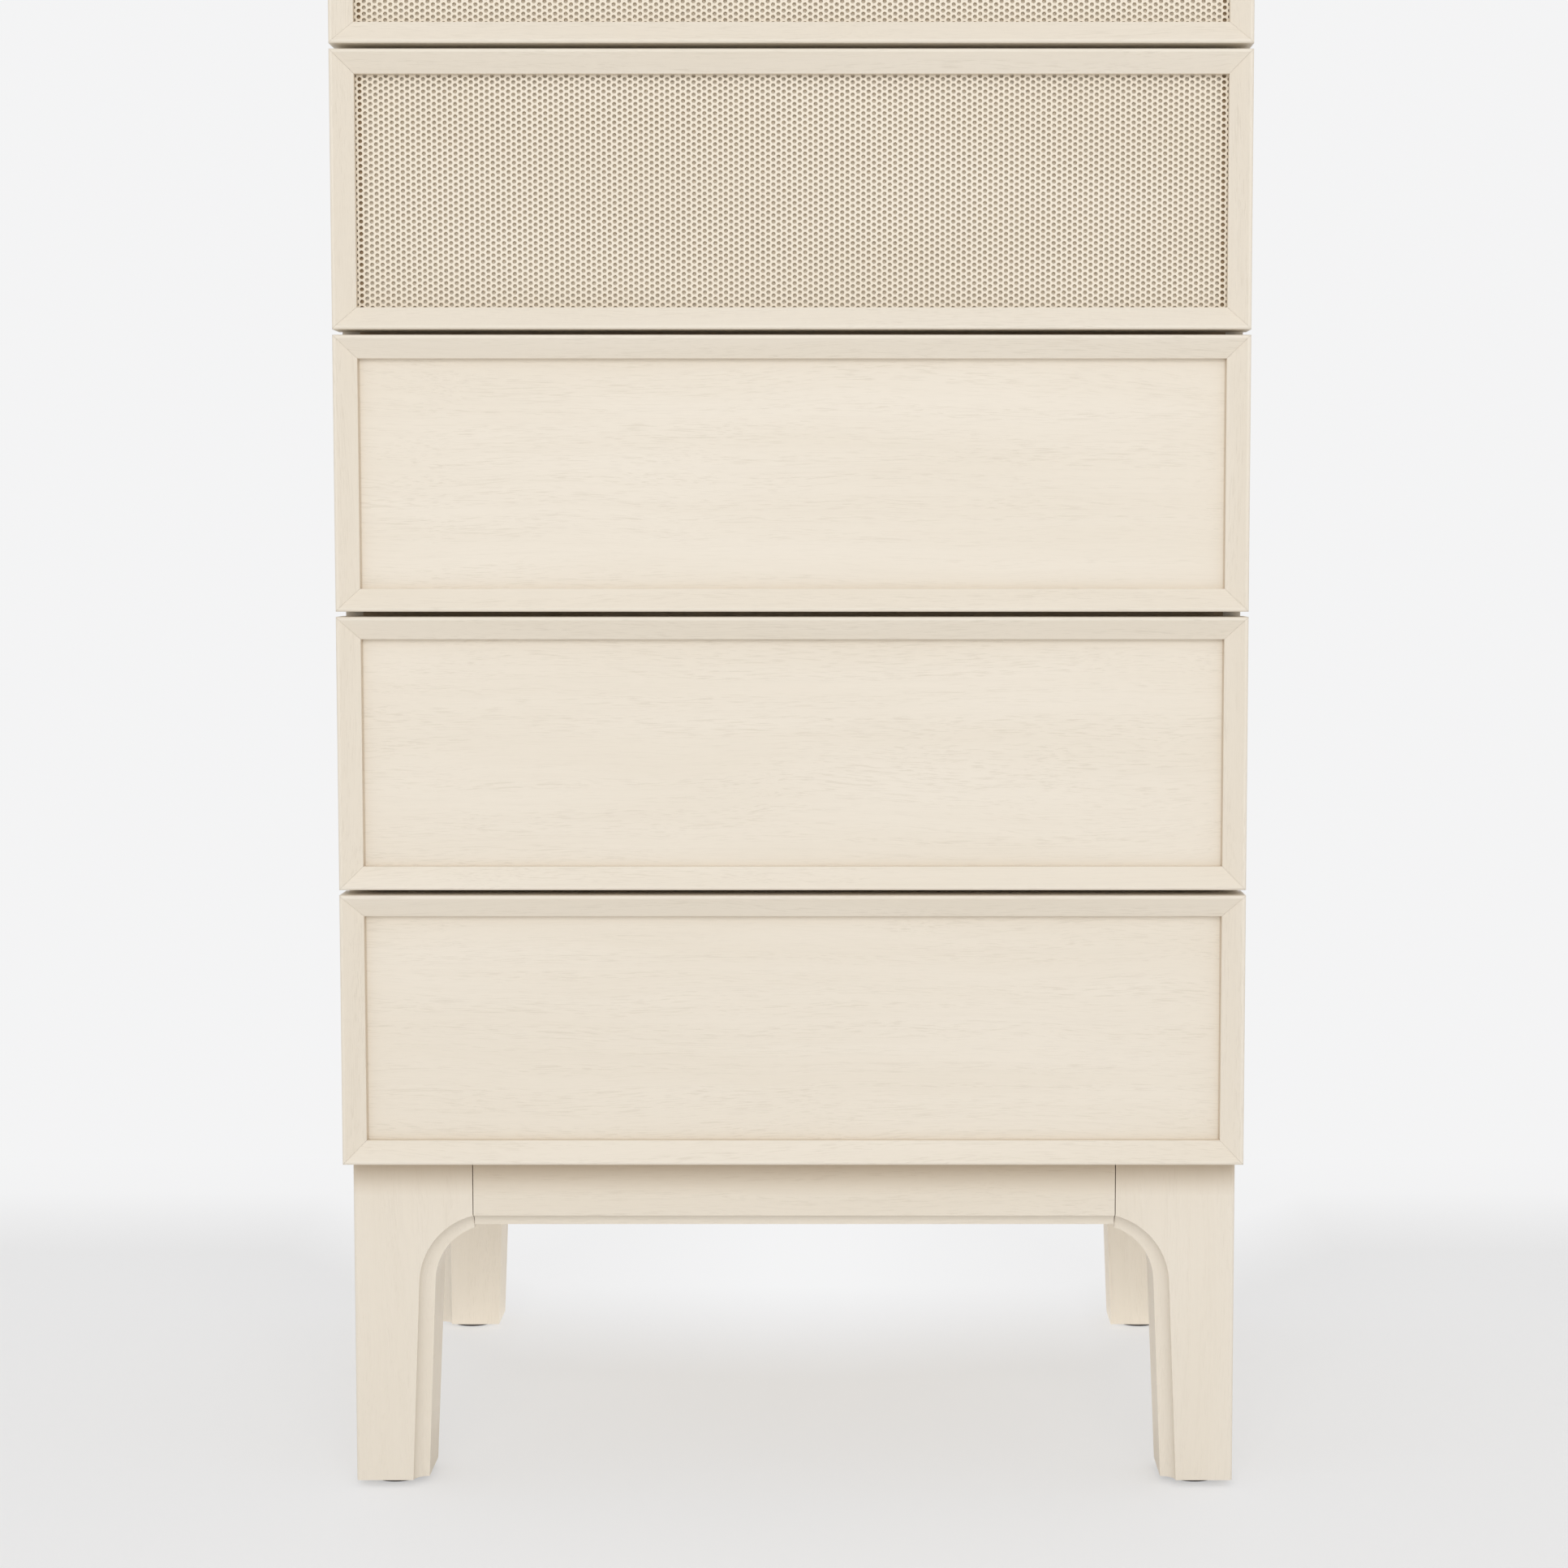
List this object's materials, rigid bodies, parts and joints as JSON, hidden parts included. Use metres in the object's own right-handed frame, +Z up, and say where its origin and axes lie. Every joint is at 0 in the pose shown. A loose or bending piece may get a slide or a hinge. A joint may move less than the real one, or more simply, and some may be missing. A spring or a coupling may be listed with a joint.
{
  "type": "semainier",
  "caption": "Tall narrow chest of drawers in painted wood with bevelled mitred fronts, perforated metal panels on the upper drawers and a base with arched legs.",
  "frame": {"origin": "middle of the bounding box on the floor, under the feet", "axes": "+Z up, drawers open towards -Y, +X to the right of someone facing the fronts"},
  "size_m": [0.525, 0.45, 1.347],
  "materials": {
    "painted_wood": "matt cream paint on open grain",
    "painted_sheet": "matt cream paint",
    "drawer_wood": "clear matt lacquer",
    "inner_wood": "matt paint",
    "runner_steel": "zinc plated",
    "fixing_steel": "zinc plated",
    "glide_plastic": "moulded"
  },
  "bodies": {
    "case": {"back_panel": "inner_wood", "base_cleats": "inner_wood", "bottom_board": "inner_wood", "case_runners": "runner_steel", "case_screws": "fixing_steel", "divider_rails": "inner_wood", "foot_glides": "glide_plastic", "front_apron": "painted_wood", "front_left_leg": "painted_wood", "front_right_leg": "painted_wood", "left_apron": "painted_wood", "left_side_panel": "painted_wood", "leg_bolts": "fixing_steel", "rear_apron": "painted_wood", "rear_left_leg": "painted_wood", "rear_right_leg": "painted_wood", "right_apron": "painted_wood", "right_side_panel": "painted_wood", "top_board": "painted_wood", "top_rails": "inner_wood"},
    "drawer_1": {"drawer_1_bottom": "drawer_wood", "drawer_1_box": "drawer_wood", "drawer_1_front_backing": "painted_wood", "drawer_1_front_frame": "painted_wood", "drawer_1_perforated_sheet": "painted_sheet", "drawer_1_runners": "runner_steel"},
    "drawer_2": {"drawer_2_bottom": "drawer_wood", "drawer_2_box": "drawer_wood", "drawer_2_front_backing": "painted_wood", "drawer_2_front_frame": "painted_wood", "drawer_2_perforated_sheet": "painted_sheet", "drawer_2_runners": "runner_steel"},
    "drawer_3": {"drawer_3_bottom": "drawer_wood", "drawer_3_box": "drawer_wood", "drawer_3_front_backing": "painted_wood", "drawer_3_front_frame": "painted_wood", "drawer_3_perforated_sheet": "painted_sheet", "drawer_3_runners": "runner_steel"},
    "drawer_4": {"drawer_4_bottom": "drawer_wood", "drawer_4_box": "drawer_wood", "drawer_4_front_backing": "painted_wood", "drawer_4_front_frame": "painted_wood", "drawer_4_perforated_sheet": "painted_sheet", "drawer_4_runners": "runner_steel"},
    "drawer_5": {"drawer_5_bottom": "drawer_wood", "drawer_5_box": "drawer_wood", "drawer_5_front_frame": "painted_wood", "drawer_5_front_panel": "painted_wood", "drawer_5_runners": "runner_steel"},
    "drawer_6": {"drawer_6_bottom": "drawer_wood", "drawer_6_box": "drawer_wood", "drawer_6_front_frame": "painted_wood", "drawer_6_front_panel": "painted_wood", "drawer_6_runners": "runner_steel"},
    "drawer_7": {"drawer_7_bottom": "drawer_wood", "drawer_7_box": "drawer_wood", "drawer_7_front_frame": "painted_wood", "drawer_7_front_panel": "painted_wood", "drawer_7_runners": "runner_steel"}
  },
  "joints": [
    {"name": "drawer_1_slide", "type": "slide", "parent": "case", "child": "drawer_1", "axis": [0, -1, 0], "range_m": [0, 0.3]},
    {"name": "drawer_2_slide", "type": "slide", "parent": "case", "child": "drawer_2", "axis": [0, -1, 0], "range_m": [0, 0.3]},
    {"name": "drawer_3_slide", "type": "slide", "parent": "case", "child": "drawer_3", "axis": [0, -1, 0], "range_m": [0, 0.3]},
    {"name": "drawer_4_slide", "type": "slide", "parent": "case", "child": "drawer_4", "axis": [0, -1, 0], "range_m": [0, 0.3]},
    {"name": "drawer_5_slide", "type": "slide", "parent": "case", "child": "drawer_5", "axis": [0, -1, 0], "range_m": [0, 0.3]},
    {"name": "drawer_6_slide", "type": "slide", "parent": "case", "child": "drawer_6", "axis": [0, -1, 0], "range_m": [0, 0.3]},
    {"name": "drawer_7_slide", "type": "slide", "parent": "case", "child": "drawer_7", "axis": [0, -1, 0], "range_m": [0, 0.3]}
  ]
}
